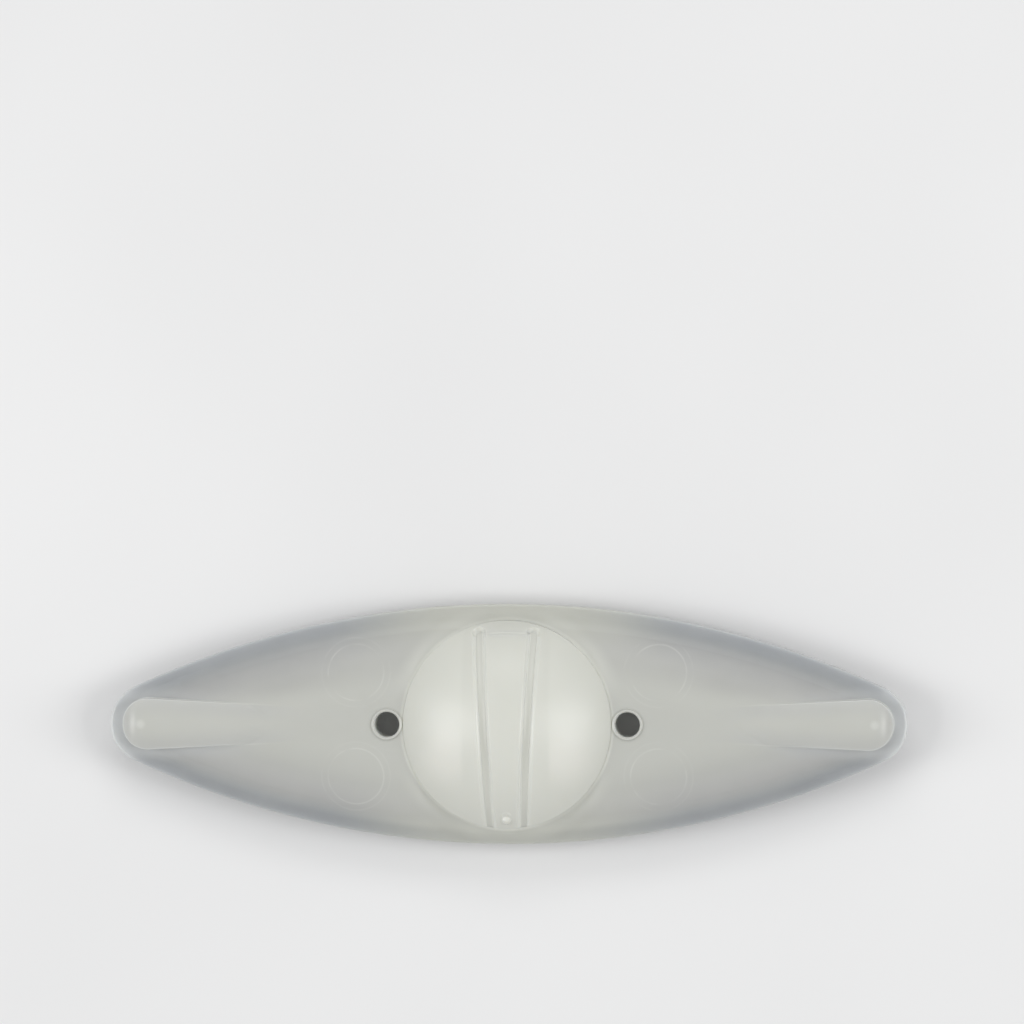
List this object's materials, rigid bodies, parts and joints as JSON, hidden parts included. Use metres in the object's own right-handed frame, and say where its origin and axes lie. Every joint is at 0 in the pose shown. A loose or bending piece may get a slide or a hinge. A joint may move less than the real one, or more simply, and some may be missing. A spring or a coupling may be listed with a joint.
{
  "type": "bicycle spoke light",
  "caption": "Leaf-shaped frosted wheel light that weaves between spokes, with a domed press tab, raised end ridges and a coin-slot battery cap.",
  "frame": {"origin": "middle of the rear face, on the dome's axis", "axes": "+X along the leaf, +Y towards the hinged end of the press tab, +Z out of the front"},
  "size_m": [0.123, 0.037, 0.0167],
  "materials": {
    "frosted_plastic": "frosted translucent, fine matt",
    "milky_plastic": "milky, smooth",
    "seal_rubber": "matt",
    "silicone": "soft matt",
    "nickel_steel": "nickel plated",
    "cell_steel": "satin",
    "board_laminate": "solder mask",
    "lamp_epoxy": "water clear to milky",
    "black_plastic": "matt",
    "chip_epoxy": "poured epoxy",
    "resistor_body": "matt",
    "capacitor_body": "satin"
  },
  "bodies": {
    "housing": {"front_shell": "frosted_plastic", "rear_shell": "frosted_plastic", "cap_seal": "seal_rubber", "battery_holder": "milky_plastic", "holder_screws": "nickel_steel", "lower_cell": "cell_steel", "upper_cell": "cell_steel", "negative_contact": "nickel_steel", "positive_contact": "nickel_steel", "circuit_board": "board_laminate", "diffuser": "milky_plastic", "led_lamp": "lamp_epoxy", "led_leads": "nickel_steel", "switch_body": "black_plastic", "switch_cover": "nickel_steel", "switch_legs": "nickel_steel", "driver_chip": "chip_epoxy", "resistors": "resistor_body", "capacitor": "capacitor_body"},
    "press_tab": {"press_tab": "frosted_plastic"},
    "plunger": {"switch_plunger": "black_plastic", "switch_boot": "silicone"},
    "battery_cap": {"battery_cap": "frosted_plastic"}
  },
  "joints": [
    {"name": "tab_hinge", "type": "hinge", "parent": "housing", "child": "press_tab", "pos_m": [0, 0.0137, 0.01136], "axis": [1, 0, 0], "range_deg": [0, 0.84], "stiffness_Nm_per_rad": 1},
    {"name": "plunger_slide", "type": "slide", "parent": "housing", "child": "plunger", "axis": [0, 0, -1], "range_m": [0, 0.0003]},
    {"name": "cap_turn", "type": "hinge", "parent": "housing", "child": "battery_cap", "pos_m": [0, 0, 0], "axis": [0, 0, -1], "range_deg": [0, 45]}
  ],
  "couplings": [
    {"joint": "plunger_slide", "follows": "tab_hinge", "m_per_rad": 0.0191}
  ]
}
